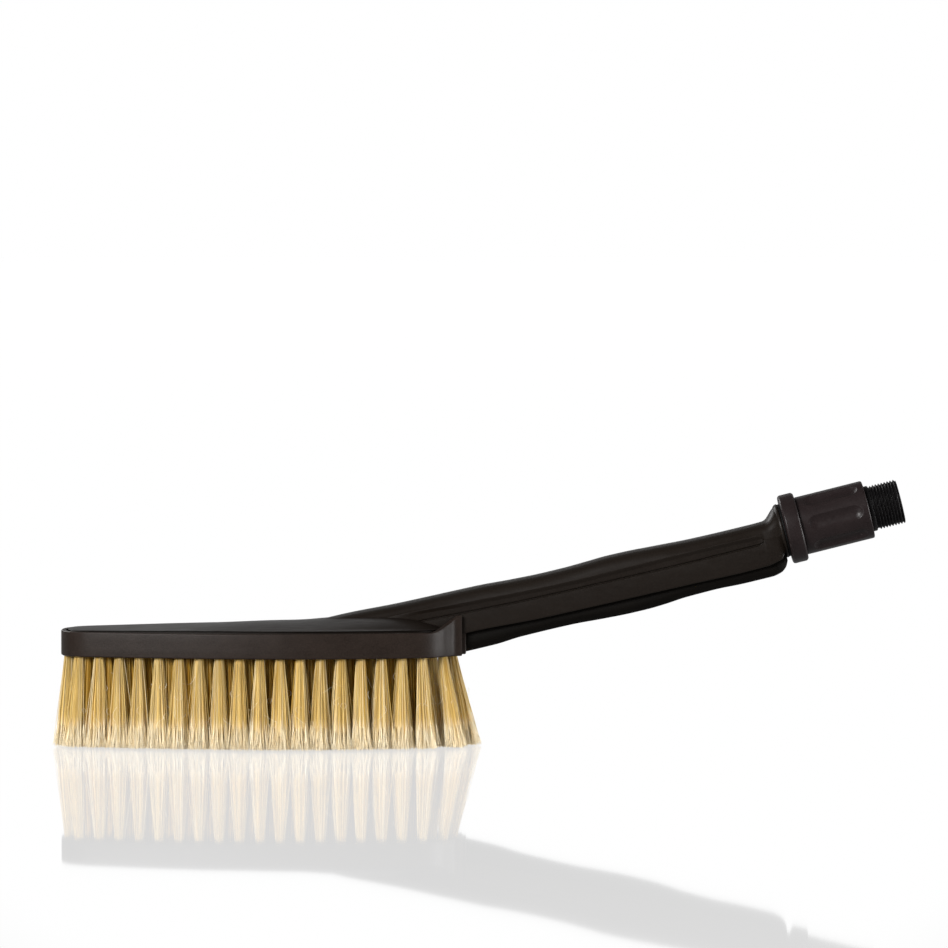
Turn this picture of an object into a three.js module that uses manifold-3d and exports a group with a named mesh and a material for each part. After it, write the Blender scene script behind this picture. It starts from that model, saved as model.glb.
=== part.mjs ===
import * as THREE from "three";
import { mergeVertices } from "three/addons/utils/BufferGeometryUtils.js";
import Module from "manifold-3d";

// Flat wash brush with an inclined handle and a free-turning threaded coupling.
// Millimetres, +Z up. X runs from the rounded front of the head to the coupling.

const wasm = await Module();
wasm.setup();

// Head
const HEAD_LENGTH = 198.7;
const BLOCK_BOTTOM_Z = 45;
const RIM_TOP_Z = 57.5;
const RIM_FILLET = 2.2;
const RECESS_FLOOR_Z = 52.6;
const RECESS_INSET = 2.4;
const CHEEK_RISE = 7.6;
const CHEEK_START_X = 184;
const CHEEK_END_X = 196.6;
const OUTLET_RADIUS = 1.5;
const OUTLET_COLUMNS = [9, 15, 21, 27, 33];

// Half outline of the head, front to rear, as [x, half width]
const HALF_OUTLINE = [
  [0, 0], [0.5, 8], [2.2, 14.5], [5.5, 19.5], [11, 23.5], [19, 26.5], [29, 29.6], [39, 32.4],
  [49, 35], [60, 37.5], [72, 40], [88, 42.4], [105, 43.8], [118, 44], [132, 43], [146, 41],
  [160, 38.6], [172, 36], [179, 34], [184, 31], [188.5, 26.5], [192, 21.5], [195, 17.8],
  [HEAD_LENGTH, 16.2],
];
const OUTLINE_POINTS = 26;

// Deck of the upper shell
const DECK_INSET = 3.2;
const DECK_UNDER_Z = 53.0;
const DECK_EDGE_Z = 57.4;
const DECK_TOP_Z = 58.5;
const DECK_ARCH = [
  [60, 0], [83, 1.3], [103, 2.3], [118, 2.7], [133, 4], [148, 5], [163, 5.7], [172, 5], [183, 2.6], [195, 0.4],
];
const ARCH_START_X = 45;
const ARCH_END_X = 183;
const CHAMBER_INSET = 8;
const CHAMBER_ROOF_Z = 55.4;
const CHAMBER_REAR_X = 166;

// Handle line: the axis of the coupling, as distance "along" it and height "off" it
const AXIS_ANGLE = THREE.MathUtils.degToRad(14.1);
const AXIS_X = 357.7;
const AXIS_Z = 106.3;
const HANDLE_HALF_WIDTH = 13.6;
const HANDLE_TOP = [
  [-245, 13.2], [-223, 13], [-193, 11.5], [-165, 10.7], [-152, 10.3], [-137, 9.3], [-121, 8.6],
  [-110, 8.5], [-98, 8.8], [-89, 9.1], [-78, 8.9], [-66, 8.25], [-45, 7.15], [-30, 6.85], [-14.5, 6.75],
  [-8, 6.9], [-4.5, 8], [-1.6, 10.8], [-0.8, 12.4],
];
const HANDLE_LOW = [
  [-245, -10.2], [-165, -10.4], [-127, -12.3], [-101, -13], [-45, -14.2], [-25, -14.7], [-12, -14.6],
  [-5, -13.2], [-0.8, -11.6],
];
const FLUTE_TOP = [
  [-245, 6], [-194, 5.7], [-162, 3.7], [-134, 2.1], [-98, 0.9], [-42, 0.9], [-10, 0.2],
];
const FLUTE_LOW = [
  [-245, 1.6], [-194, 1.2], [-160, -0.4], [-134, -1.6], [-98, -2.5], [-42, -3.3], [-10, -3.3],
];
const FLUTE_DEPTH = 1.1;
const FLUTE_START = -196;
const FLUTE_END = -10.5;
const WALL = 2.4;
const ROOF = 2;
const HOLLOW_START = -166;
const HOLLOW_END = -20;
const LIP_RADIUS = 13.5;
const LIP_THICKNESS = 2.4;

// Lower shell (keel) of the handle
const KEEL_HALF_WIDTH = 10.4;
const KEEL_START = -168.5;
const KEEL_FRONT_X = 200.95;
const TROUGH_START = -161.8;
const KEEL_END = -1.4;
const KEEL_BOTTOM = [
  [-170, -19.6], [-152, -19.8], [-138, -19.1], [-126, -19.15], [-112, -19.45], [-98, -20.35],
  [-83, -21.1], [-74, -21.2], [-66, -20.9], [-54, -20.05], [-40, -19.9], [-25, -20.5], [-11, -20.6],
  [-6, -19.7], [-3, -17.6], [-1.4, -14.6],
];
const KEEL_NEST = 5.5;
const GAP = 0.35;
const MERGE_TOLERANCE = 0.02;

// Water tube and its seal
const TUBE_RADIUS = 4;
const TUBE_BORE = 2.9;
const TUBE_START = -187;
const TUBE_END = -22.4;
const TUBE_SEAL_AT = -168.5;
const SOCKET_RADIUS = 4.4;
const GLAND_RADIUS = 5.9;

// Coupling, measured along the handle line from the lip of the handle
const NOSE_RADIUS = 7;
const NOSE_BORE = 3.4;
const NOSE_TAIL_RADIUS = 4.6;
const NOSE_BARB_RADIUS = 2.6;
const NOSE_END = 30;
const RING_START = 1.6;
const RING_END = 9.2;
const RING_RADIUS = 17.3;
const SLEEVE_START = 9.5;
const SLEEVE_END = 43.4;
const SLEEVE_RADIUS = 14.5;
const HUB_RADIUS = 11;
const SLEEVE_BORE = 7.4;
const CLIP_CHAMBER = 9.7;
const GRIP_FLUTES = 7;
const GRIP_FLUTE_DEPTH = 1.3;
const GRIP_FLUTE_WIDTH = 8.6;
const GRIP_FLUTE_TURN = THREE.MathUtils.degToRad(3);
const SPIGOT_NECK_RADIUS = 11.4;
const THREAD_RADIUS = 11;
const THREAD_DEPTH = 0.9;
const THREAD_PITCH = 1.5;
const THREAD_START = 46;
const THREAD_END = 59.9;
const INLET_RADIUS = 7;

// Bristle tufts: columns across the head, staggered by half a spacing
const COLUMN_PITCH = 4.97;
const COLUMN_COUNT = 39;
const TUFT_RADIUS = 2.6;
const TUFT_TOP_Z = 50.6;
const TUFT_ROOT_Z = 44.2;
const TUFT_EDGE_MARGIN = 4.9;
const TUFT_SPACING = 12.4;
const HOLE_RADIUS = 3.1;
const HOLE_TOP_Z = 51;
const FRONT_LEAN = 2.7;
const REAR_LEAN = 8.2;

const COLOURS = {
  block: 0x3e3834, shell: 0x2a2724, keel: 0x14110f, tube: 0x8f949a, seal: 0x161616, nose: 0x1e1d1c,
  steel: 0xa9acb0, washer: 0x242424, collar: 0x2f2b29, sleeve: 0x302c2b, spigot: 0x232122,
  bristle: 0xc8a35a,
};

// ---- shared helpers ----

function interpolate(table, at) {
  if (at <= table[0][0]) return table[0][1];
  for (let i = 1; i < table.length; i += 1) {
    if (at <= table[i][0]) {
      const [x0, y0] = table[i - 1];
      const [x1, y1] = table[i];
      const t = (at - x0) / (x1 - x0);
      return y0 + (y1 - y0) * t;
    }
  }
  return table[table.length - 1][1];
}

function smoothstep(low, high, value) {
  return THREE.MathUtils.smoothstep(value, low, high);
}

function onAxis(along, across, off) {
  const c = Math.cos(AXIS_ANGLE);
  const s = Math.sin(AXIS_ANGLE);
  return [AXIS_X + along * c - off * s, across, AXIS_Z + along * s + off * c];
}

function signedVolume(positions, index) {
  const a = new THREE.Vector3();
  const b = new THREE.Vector3();
  const c = new THREE.Vector3();
  let total = 0;
  for (let i = 0; i < index.length; i += 3) {
    a.fromArray(positions, index[i] * 3);
    b.fromArray(positions, index[i + 1] * 3);
    c.fromArray(positions, index[i + 2] * 3);
    total += a.dot(b.cross(c));
  }
  return total;
}

// A closed surface as a manifold solid, turned outward, with collapsed triangles dropped.
function solid(geometry) {
  const bare = new THREE.BufferGeometry();
  bare.setAttribute("position", geometry.getAttribute("position").clone());
  if (geometry.index) bare.setIndex(geometry.index.clone());
  const merged = mergeVertices(bare, 1e-4);
  const positions = merged.getAttribute("position").array;
  const source = merged.index.array;
  const kept = [];
  for (let i = 0; i < source.length; i += 3) {
    const [a, b, c] = [source[i], source[i + 1], source[i + 2]];
    if (a !== b && b !== c && c !== a) kept.push(a, b, c);
  }
  if (signedVolume(positions, kept) < 0) kept.reverse();
  const mesh = new wasm.Mesh({
    numProp: 3,
    vertProperties: new Float32Array(positions),
    triVerts: new Uint32Array(kept),
  });
  return new wasm.Manifold(mesh);
}

function geometryOf(body) {
  const mesh = body.getMesh();
  const geometry = new THREE.BufferGeometry();
  const positions = new Float32Array(mesh.numVert * 3);
  for (let i = 0; i < mesh.numVert; i += 1) {
    for (let k = 0; k < 3; k += 1) {
      positions[i * 3 + k] = mesh.vertProperties[i * mesh.numProp + k];
    }
  }
  geometry.setAttribute("position", new THREE.BufferAttribute(positions, 3));
  geometry.setIndex(new THREE.BufferAttribute(new Uint32Array(mesh.triVerts), 1));
  return geometry;
}

// A closed body through rings of points, with a fan over each end.
function loft(rings) {
  const count = rings[0].length;
  const positions = rings.flat(2);
  const index = [];
  for (let r = 0; r + 1 < rings.length; r += 1) {
    for (let i = 0; i < count; i += 1) {
      const j = (i + 1) % count;
      const a = r * count + i;
      const b = r * count + j;
      index.push(a, b, b + count, a, b + count, a + count);
    }
  }
  for (const end of [0, rings.length - 1]) {
    const centre = [0, 0, 0];
    rings[end].forEach((p) => p.forEach((value, k) => { centre[k] += value / count; }));
    const tip = positions.length / 3;
    positions.push(...centre);
    for (let i = 0; i < count; i += 1) {
      const a = end * count + i;
      const b = end * count + ((i + 1) % count);
      if (end === 0) index.push(b, a, tip);
      else index.push(a, b, tip);
    }
  }
  const geometry = new THREE.BufferGeometry();
  geometry.setAttribute("position", new THREE.Float32BufferAttribute(positions, 3));
  geometry.setIndex(index);
  return solid(geometry);
}

// A body of revolution about the handle line, from a profile of [along, radius] points.
function turned(profile, segments = 40) {
  const points = profile.map(([along, radius]) => new THREE.Vector2(radius, along));
  if (profile[0][1] > 0) points.push(points[0].clone());
  const geometry = new THREE.LatheGeometry(points, segments);
  const position = geometry.getAttribute("position");
  for (let i = 0; i < position.count; i += 1) {
    const p = onAxis(position.getY(i), position.getZ(i), position.getX(i));
    position.setXYZ(i, p[0], p[1], p[2]);
  }
  return solid(geometry);
}

function box(low, high) {
  const size = high.map((value, k) => value - low[k]);
  const geometry = new THREE.BoxGeometry(...size);
  geometry.translate(...low.map((value, k) => value + size[k] / 2));
  return solid(geometry);
}

function joinAll(bodies) {
  return bodies.reduce((sum, body) => sum.add(body));
}

// ---- head outline ----

function halfOutline() {
  const curve = new THREE.CatmullRomCurve3(
    HALF_OUTLINE.map(([x, y]) => new THREE.Vector3(x, y, 0)), false, "centripetal");
  return curve.getSpacedPoints(OUTLINE_POINTS).map((p) => [p.x, Math.max(p.y, 0)]);
}

const OUTLINE = (() => {
  const half = halfOutline();
  const mirrored = half.slice(1).reverse().map(([x, y]) => [x, -y]);
  return [...half, ...mirrored];
})();

function headHalfWidth(x) {
  return interpolate(halfOutline(), x);
}

// The outline moved inward, each corner kept square to its two sides.
function insetOutline(distance) {
  const count = OUTLINE.length;
  return OUTLINE.map((point, i) => {
    const before = OUTLINE[(i + count - 1) % count];
    const after = OUTLINE[(i + 1) % count];
    const n1 = new THREE.Vector2(point[1] - before[1], before[0] - point[0]).normalize();
    const n2 = new THREE.Vector2(after[1] - point[1], point[0] - after[0]).normalize();
    const middle = n1.clone().add(n2).normalize();
    const reach = distance / Math.max(middle.dot(n1), 0.5);
    return [point[0] + middle.x * reach, point[1] + middle.y * reach];
  });
}

function outlineRing(inset, heightAt) {
  return insetOutline(inset).map(([x, y]) => [x, y, heightAt(x)]);
}

function cheekRise(x) {
  const t = THREE.MathUtils.clamp((x - CHEEK_START_X) / (CHEEK_END_X - CHEEK_START_X), 0, 1);
  return CHEEK_RISE * t ** 1.6;
}

// ---- bristle layout ----

function columnX(column) {
  return column * COLUMN_PITCH;
}

function tipShift(x) {
  const front = -FRONT_LEAN * (1 - smoothstep(2, 30, x));
  const rear = REAR_LEAN * smoothstep(168, 197, x) ** 1.3;
  return front + rear;
}

// Columns of a row: a staggered one and a full one, and the last row takes the end column too.
function rowColumns(row) {
  const columns = [2 * row - 1, 2 * row];
  if (2 * row + 1 === COLUMN_COUNT) columns.push(COLUMN_COUNT);
  return columns;
}

function rowTufts(row) {
  const columns = rowColumns(row);
  const reach = headHalfWidth(columnX(columns[1])) - TUFT_EDGE_MARGIN;
  const gaps = 2 * Math.max(1, Math.round(reach / TUFT_SPACING));
  const spacing = (2 * reach) / gaps;
  const tipX = columns.map((column) => columnX(column) + tipShift(columnX(column)));
  const tufts = [];
  columns.forEach((column, place) => {
    const staggered = column % 2 === 1;
    const endReach = headHalfWidth(columnX(column)) - TUFT_EDGE_MARGIN + 1.2;
    const count = staggered ? gaps : gaps + 1;
    for (let i = 0; i < count; i += 1) {
      const y = -reach + spacing * (staggered ? i + 0.5 : i);
      if (Math.abs(y) > endReach) continue;
      tufts.push({ x: columnX(column), tipX: tipX[place], y, spacing, step: tipX[1] - tipX[0], staggered });
    }
  });
  return tufts;
}

function rootRing(x, y, radius, z) {
  return [[x + radius, y, z], [x, y + radius, z], [x - radius, y, z], [x, y - radius, z]];
}

// The spread tip is a four-sided tile, so that the tips of one row run into each other.
function tipRing(tuft, grow) {
  const half = tuft.step - 0.25 + grow;
  const x = tuft.tipX + (tuft.staggered ? 0.35 : -0.35);
  return rootRing(x, tuft.y, 1, 0).map(([px, py, z]) => [
    x + (px - x) * half,
    tuft.y + (py - tuft.y) * (tuft.spacing / 2 - 0.15 + grow),
    z,
  ]);
}

function tuftBody(tuft, grow) {
  return loft([
    rootRing(tuft.x, tuft.y, TUFT_RADIUS + grow, TUFT_TOP_Z + grow),
    rootRing(tuft.x, tuft.y, TUFT_RADIUS + grow, TUFT_ROOT_Z),
    tipRing(tuft, grow).map(([x, y]) => [x, y, -grow]),
  ]);
}

function tuftRow(row) {
  const body = joinAll(rowTufts(row).map((tuft) => tuftBody(tuft, 0)));
  if (row === 1) return body;
  const clearance = joinAll(rowTufts(row - 1).map((tuft) => tuftBody(tuft, GAP)));
  return body.subtract(clearance);
}

// ---- head pieces ----

function blockShell() {
  const flat = (z) => () => z;
  const rim = (z, share) => (x) => z + cheekRise(x) * share;
  return loft([
    outlineRing(0.7, flat(BLOCK_BOTTOM_Z)),
    outlineRing(0, flat(BLOCK_BOTTOM_Z + 0.7)),
    outlineRing(0, rim(RIM_TOP_Z - RIM_FILLET, 1)),
    outlineRing(RIM_FILLET * 0.29, rim(RIM_TOP_Z - RIM_FILLET * 0.29, 1)),
    outlineRing(RIM_FILLET, rim(RIM_TOP_Z, 1)),
    outlineRing(RIM_FILLET + 8, flat(RIM_TOP_Z)),
  ]);
}

function blockHoles() {
  const holes = [];
  for (let row = 1; row <= 19; row += 1) {
    for (const tuft of rowTufts(row)) {
      holes.push(loft([
        rootRing(tuft.x, tuft.y, HOLE_RADIUS, BLOCK_BOTTOM_Z - 1),
        rootRing(tuft.x, tuft.y, HOLE_RADIUS, HOLE_TOP_Z),
      ]));
    }
  }
  for (const column of OUTLET_COLUMNS) {
    holes.push(loft([
      rootRing(columnX(column), 0, OUTLET_RADIUS, BLOCK_BOTTOM_Z - 1),
      rootRing(columnX(column), 0, OUTLET_RADIUS, RECESS_FLOOR_Z + 1),
    ]));
  }
  return joinAll(holes);
}

function block() {
  const recess = loft([
    outlineRing(RECESS_INSET, () => RECESS_FLOOR_Z),
    outlineRing(RECESS_INSET, () => RIM_TOP_Z + 20),
  ]);
  const handleWay = box([180, -14.3, 54.1], [210, 14.3, 90]);
  const rearPlug = box([196.2, -11, BLOCK_BOTTOM_Z + 0.6], [200.6, 11, 54]);
  return blockShell()
    .subtract(recess)
    .add(rearPlug)
    .subtract(handleWay)
    .subtract(blockHoles());
}

// ---- handle sections ----

function upperSection(along) {
  const top = interpolate(HANDLE_TOP, along);
  const low = interpolate(HANDLE_LOW, along);
  const half = HANDLE_HALF_WIDTH;
  const fade = smoothstep(FLUTE_START, FLUTE_START + 12, along)
    * (1 - smoothstep(FLUTE_END - 5, FLUTE_END, along));
  const depth = FLUTE_DEPTH * fade;
  const fluteTop = interpolate(FLUTE_TOP, along);
  const fluteLow = interpolate(FLUTE_LOW, along);
  const side = [
    [half - 0.8, low],
    [half, low + 0.8],
    [half, fluteLow - 0.5],
    [half - depth, fluteLow + 0.4],
    [half - depth, fluteTop - 0.4],
    [half - 0.2, fluteTop + 0.5],
    [half - 0.8, Math.max(top - 4.6, fluteTop + 1)],
    [half - 2.2, top - 2.3],
    [half - 4.8, top - 0.8],
    [half - 8.6, top - 0.1],
  ];
  const ring = [[0, low], ...side, [0, top], ...side.slice().reverse().map(([y, n]) => [-y, n])];
  const round = smoothstep(-11, -1, along);
  return ring.map(([y, n]) => {
    const angle = Math.atan2(n + 1.2 * (1 - round), y);
    const cy = (LIP_RADIUS - 0.6) * Math.cos(angle);
    const cn = (LIP_RADIUS - 0.6) * Math.sin(angle);
    return [THREE.MathUtils.lerp(y, cy, round), THREE.MathUtils.lerp(n, cn, round)];
  });
}

function hollowSection(along) {
  const top = interpolate(HANDLE_TOP, along) - ROOF;
  const low = interpolate(HANDLE_LOW, along) - 6;
  const half = HANDLE_HALF_WIDTH - WALL;
  const side = [[half, low], [half, top - 4], [half - 2.5, top - 1], [half - 6, top]];
  return [...side, ...side.slice().reverse().map(([y, n]) => [-y, n])];
}

function loftAlong(stations, section) {
  return loft(stations.map((along) => section(along).map(([y, n]) => onAxis(along, y, n))));
}

function archRing(share, baseAt) {
  return outlineRing(DECK_INSET + 3, () => 0).map(([x, y]) => {
    const middle = Math.min(Math.max(x, ARCH_START_X), ARCH_END_X);
    const along = middle + (x - middle) * share;
    const rise = interpolate(DECK_ARCH, Math.max(along, DECK_ARCH[0][0]));
    return [along, y * share, baseAt(along) + rise * (1 - share ** 2.4)];
  });
}

function upperShell() {
  const stations = [
    -245, -223, FLUTE_START, FLUTE_START + 6, FLUTE_START + 12, -160, -150, -134, -121, -110, -98, -89,
    -78, -66, -40,
    FLUTE_END - 5, FLUTE_END - 2.5, FLUTE_END, -8, -5, -3, -1.6, -0.8,
  ];
  const handle = loftAlong(stations, upperSection);
  const lip = turned([
    [-LIP_THICKNESS, 0], [-LIP_THICKNESS, LIP_RADIUS - 1.2], [-LIP_THICKNESS + 1.2, LIP_RADIUS],
    [-0.5, LIP_RADIUS], [0, LIP_RADIUS - 0.5], [0, 0],
  ]);
  const crown = (base) => (x) => base - 1.0 * (1 - smoothstep(0, 85, x));
  const deck = loft([
    outlineRing(DECK_INSET, () => DECK_UNDER_Z),
    outlineRing(DECK_INSET, crown(DECK_EDGE_Z)),
    outlineRing(DECK_INSET + 0.9, crown(DECK_EDGE_Z + 0.8)),
    outlineRing(DECK_INSET + 3, crown(DECK_TOP_Z)),
    ...[0.78, 0.56, 0.32, 0.05].map((share) => archRing(share, crown(DECK_TOP_Z))),
  ]);
  const chamber = loft([
    outlineRing(CHAMBER_INSET, () => DECK_UNDER_Z - 2),
    outlineRing(CHAMBER_INSET, () => CHAMBER_ROOF_Z),
  ]).intersect(box([0, -60, 40], [CHAMBER_REAR_X, 60, 60]));
  const hollow = loftAlong([HOLLOW_START, -134, -98, -66, -40, HOLLOW_END], hollowSection);
  const waterWay = turned([[-213, 0], [-213, TUBE_BORE], [-186, TUBE_BORE], [-186, 0]], 16);
  const socket = turned([
    [TUBE_START - 0.4, 0], [TUBE_START - 0.4, SOCKET_RADIUS], [-172, SOCKET_RADIUS],
    [-172, GLAND_RADIUS], [HOLLOW_START + 3, GLAND_RADIUS], [HOLLOW_START + 3, 0],
  ], 24);
  const noseBore = turned([
    [HOLLOW_END - 6, 0], [HOLLOW_END - 6, NOSE_TAIL_RADIUS + 0.3], [-2.6, NOSE_TAIL_RADIUS + 0.3],
    [-2.6, 9.4], [2, 9.4], [2, 0],
  ], 24);
  const aboveBlock = box([-20, -80, DECK_UNDER_Z], [420, 80, 160]);
  return handle
    .add(lip)
    .intersect(aboveBlock)
    .add(deck)
    .subtract(chamber)
    .subtract(hollow)
    .subtract(waterWay)
    .subtract(socket)
    .subtract(noseBore);
}

function keelSection(along, inset) {
  const low = interpolate(KEEL_BOTTOM, along) + inset;
  const top = interpolate(HANDLE_LOW, along) + KEEL_NEST + (inset > 0 ? 10 : 0);
  const half = KEEL_HALF_WIDTH - inset;
  const side = [
    [half - 5, low], [half - 2, low + 0.9], [half - 0.4, low + 2.8], [half, low + 4.6], [half, top],
  ];
  return [...side, ...side.slice().reverse().map(([y, n]) => [-y, n])];
}

function lowerShell() {
  const stations = [KEEL_START, -149, -138, -128, -115, -103, -90, -78, -67, -57, -48, -40, -32, -25,
    -11, -6, -3, KEEL_END];
  const outer = loftAlong(stations, (along) => keelSection(along, 0));
  const trough = loftAlong([TROUGH_START, -128, -103, -78, -57, -40, HOLLOW_END - 3],
    (along) => keelSection(along, WALL - 0.2));
  const endBoss = loftAlong([HOLLOW_END - 0.5, -12, -5, 2], (along) => {
    const low = interpolate(HANDLE_LOW, along) - GAP - 0.9 * smoothstep(-11, -2, along);
    return [[16, low], [16, 30], [-16, 30], [-16, low]];
  });
  const lipWay = turned([[-3, 0], [-3, LIP_RADIUS + GAP], [2, LIP_RADIUS + GAP], [2, 0]]);
  const behindBlock = box([KEEL_FRONT_X, -20, 0], [420, 20, 160]);
  return outer.subtract(trough).subtract(endBoss).subtract(lipWay).intersect(behindBlock);
}

function waterTube() {
  return turned([[TUBE_START, TUBE_BORE], [TUBE_START, TUBE_RADIUS], [TUBE_END, TUBE_RADIUS],
    [TUBE_END, TUBE_BORE]], 20);
}

// A rubber ring of round section about the handle line.
function sealRing(along, radius, thickness) {
  const profile = [];
  for (let i = 0; i < 6; i += 1) {
    const angle = (i / 6) * Math.PI * 2;
    profile.push([along + thickness * Math.cos(angle), radius + thickness * Math.sin(angle)]);
  }
  return turned(profile, 20);
}

// ---- coupling pieces ----

function swivelNose() {
  return turned([
    [-30, 1.8], [-30, NOSE_BARB_RADIUS], [-22, NOSE_BARB_RADIUS], [-22, NOSE_TAIL_RADIUS],
    [-2.3, NOSE_TAIL_RADIUS], [-2.3, 9], [-0.3, 9], [-0.3, NOSE_RADIUS],
    [13.8, NOSE_RADIUS], [13.8, 5.3], [16, 5.3], [16, NOSE_RADIUS],
    [18.8, NOSE_RADIUS], [18.8, 5.3], [21, 5.3], [21, NOSE_RADIUS],
    [26, NOSE_RADIUS], [26, 5.9], [27.4, 5.9], [27.4, NOSE_RADIUS],
    [NOSE_END - 0.8, NOSE_RADIUS], [NOSE_END, NOSE_RADIUS - 0.8], [NOSE_END, NOSE_BORE],
    [2, NOSE_BORE], [-4, 1.8],
  ], 24);
}

// Open spring clip: a flat ring with a sixth of its turn cut away.
function retainingClip() {
  const ring = turned([[26.2, 6.2], [26.2, 8.8], [27.2, 8.8], [27.2, 6.2]], 32);
  const notch = loft([25, 29].map((along) => (
    [[-2.6, 0], [2.6, 0], [4.6, 12], [-4.6, 12]].map(([y, n]) => onAxis(along, y, n)))));
  return ring.subtract(notch);
}

function thrustWasher() {
  return turned([[0.2, 7.4], [0.2, 12.8], [RING_START - 0.2, 12.8], [RING_START - 0.2, 7.4]], 36);
}

function collarRing() {
  const inner = HUB_RADIUS + GAP;
  return turned([
    [RING_START, inner], [RING_START, RING_RADIUS - 0.8], [RING_START + 0.8, RING_RADIUS],
    [RING_END - 0.9, RING_RADIUS], [RING_END, RING_RADIUS - 0.9], [RING_END, inner],
  ], 48);
}

function gripFlute(turn) {
  const radius = (GRIP_FLUTE_WIDTH ** 2 / 4 + GRIP_FLUTE_DEPTH ** 2) / (2 * GRIP_FLUTE_DEPTH);
  const centre = SLEEVE_RADIUS + radius - GRIP_FLUTE_DEPTH;
  const overrun = Math.sqrt(radius ** 2 - (centre - SLEEVE_RADIUS) ** 2);
  const first = SLEEVE_START + 3.8 + overrun;
  const last = SLEEVE_END - 3.1 - overrun;
  const points = [];
  for (let i = 0; i <= 6; i += 1) {
    const angle = (i / 6) * (Math.PI / 2);
    points.push([first - radius * Math.cos(angle), radius * Math.sin(angle)]);
  }
  for (let i = 6; i >= 0; i -= 1) {
    const angle = (i / 6) * (Math.PI / 2);
    points.push([last + radius * Math.cos(angle), radius * Math.sin(angle)]);
  }
  const geometry = new THREE.LatheGeometry(points.map(([along, r]) => new THREE.Vector2(r, along)), 28);
  const position = geometry.getAttribute("position");
  for (let i = 0; i < position.count; i += 1) {
    const y = position.getZ(i);
    const n = position.getX(i) + centre;
    const p = onAxis(
      position.getY(i),
      -n * Math.cos(turn) + y * Math.sin(turn),
      n * Math.sin(turn) + y * Math.cos(turn));
    position.setXYZ(i, p[0], p[1], p[2]);
  }
  return solid(geometry);
}

function gripSleeve() {
  const body = turned([
    [RING_START, SLEEVE_BORE], [RING_START, HUB_RADIUS], [SLEEVE_START, HUB_RADIUS],
    [SLEEVE_START, SLEEVE_RADIUS - 0.5], [SLEEVE_START + 0.5, SLEEVE_RADIUS],
    [SLEEVE_END - 0.9, SLEEVE_RADIUS], [SLEEVE_END, SLEEVE_RADIUS - 0.9],
    [SLEEVE_END, CLIP_CHAMBER], [25.8, CLIP_CHAMBER], [25.8, SLEEVE_BORE],
  ], 56);
  const flutes = [];
  for (let i = 0; i < GRIP_FLUTES; i += 1) {
    flutes.push(gripFlute(GRIP_FLUTE_TURN + (i / GRIP_FLUTES) * Math.PI * 2));
  }
  return flutes.reduce((left, flute) => left.subtract(flute), body);
}

// Radius of the thread at a point: a sharp ridge that winds once round in each pitch.
function threadRadius(along, turn) {
  const phase = (((along - THREAD_START) / THREAD_PITCH - turn) % 1 + 1) % 1;
  const ridge = Math.abs(phase - 0.5) * 2;
  const radius = THREAD_RADIUS - THREAD_DEPTH * ridge;
  const runIn = THREAD_RADIUS - THREAD_DEPTH * (1 - smoothstep(0, 1.2, along - THREAD_START));
  const chamfer = THREAD_RADIUS - 0.6 + (THREAD_END - along) * 0.9;
  return Math.min(radius, Math.max(runIn, THREAD_RADIUS - THREAD_DEPTH), chamfer);
}

function threadedSpigot() {
  const around = 24;
  const rings = [];
  const ringAt = (along, radiusOf) => {
    const ring = [];
    for (let i = 0; i < around; i += 1) {
      const turn = i / around;
      const radius = radiusOf(turn);
      const angle = turn * Math.PI * 2;
      ring.push(onAxis(along, radius * Math.sin(angle), radius * Math.cos(angle)));
    }
    rings.push(ring);
  };
  const stem = CLIP_CHAMBER - GAP;
  ringAt(31.3, () => stem - 0.6);
  ringAt(31.9, () => stem);
  ringAt(SLEEVE_END + GAP, () => stem);
  ringAt(SLEEVE_END + GAP + 0.01, () => SPIGOT_NECK_RADIUS);
  ringAt(THREAD_START - 0.5, () => SPIGOT_NECK_RADIUS);
  ringAt(THREAD_START, () => THREAD_RADIUS - THREAD_DEPTH);
  const steps = Math.round((THREAD_END - THREAD_START) / (THREAD_PITCH / 4));
  for (let i = 1; i < steps; i += 1) {
    const along = THREAD_START + (i / steps) * (THREAD_END - THREAD_START);
    ringAt(along, (turn) => threadRadius(along, turn));
  }
  ringAt(THREAD_END, () => THREAD_RADIUS - 0.9);
  const bore = turned([
    [30, 0], [30, 4.2], [46, 4.2], [46, INLET_RADIUS], [THREAD_END - 0.7, INLET_RADIUS],
    [THREAD_END + 0.5, INLET_RADIUS + 1.2], [THREAD_END + 0.5, 0],
  ], 32);
  return loft(rings).subtract(bore);
}

// ---- assembly ----

function addPiece(group, name, body, colour, metal = 0, roughness = 0.7) {
  const geometry = geometryOf(body.asOriginal().simplify(MERGE_TOLERANCE));
  const material = new THREE.MeshStandardMaterial({ color: colour, metalness: metal, roughness });
  const mesh = new THREE.Mesh(geometry, material);
  mesh.name = name;
  group.add(mesh);
}

const group = new THREE.Group();
group.name = "wash_brush";
addPiece(group, "block", block(), COLOURS.block);
addPiece(group, "upper_shell", upperShell(), COLOURS.shell, 0, 0.5);
addPiece(group, "lower_shell", lowerShell(), COLOURS.keel);
addPiece(group, "water_tube", waterTube(), COLOURS.tube);
addPiece(group, "tube_seal", sealRing(TUBE_SEAL_AT, 4.95, 0.8), COLOURS.seal);
addPiece(group, "swivel_nose", swivelNose(), COLOURS.nose, 0, 0.5);
addPiece(group, "nose_seal_rear", sealRing(14.9, 6.35, 0.9), COLOURS.seal);
addPiece(group, "nose_seal_front", sealRing(19.9, 6.35, 0.9), COLOURS.seal);
addPiece(group, "retaining_clip", retainingClip(), COLOURS.steel, 1, 0.4);
addPiece(group, "thrust_washer", thrustWasher(), COLOURS.washer);
addPiece(group, "collar_ring", collarRing(), COLOURS.collar, 0, 0.4);
addPiece(group, "grip_sleeve", gripSleeve(), COLOURS.sleeve, 0, 0.4);
addPiece(group, "threaded_spigot", threadedSpigot(), COLOURS.spigot, 0, 0.45);
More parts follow.
